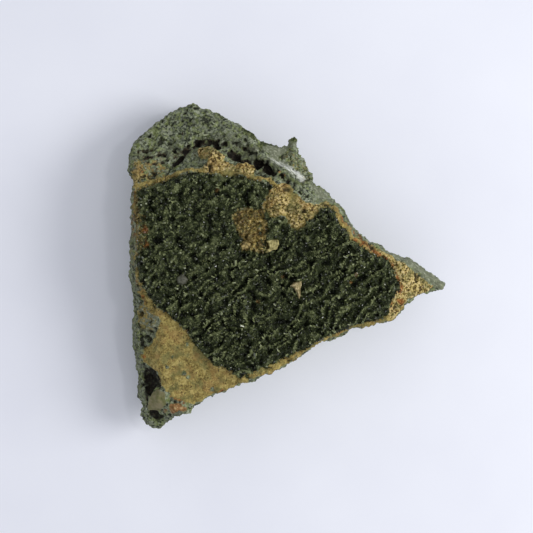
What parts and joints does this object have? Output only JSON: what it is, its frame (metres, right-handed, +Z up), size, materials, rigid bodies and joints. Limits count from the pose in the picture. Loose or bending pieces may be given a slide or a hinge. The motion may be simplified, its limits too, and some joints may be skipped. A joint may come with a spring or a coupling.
{
  "type": "epidote crystal cluster",
  "caption": "Hand-sized mineral specimen: a broken wedge of grey-green and ochre rock, its top covered by a druse of small dark green epidote crystals.",
  "frame": {"origin": "middle of the footprint, on the surface that the specimen lies on", "axes": "+X to the right and +Y away from the viewer as in the picture, which looks straight down; +Z up, out of the druse"},
  "size_m": [0.0818, 0.0855, 0.0262],
  "materials": {
    "rock": "matt broken rock, grey-green with ochre iron stain",
    "epidote": "glossy dark green crystal faces"
  },
  "bodies": {
    "root": {"rock_matrix": "rock", "epidote_druse": "epidote"}
  },
  "joints": []
}
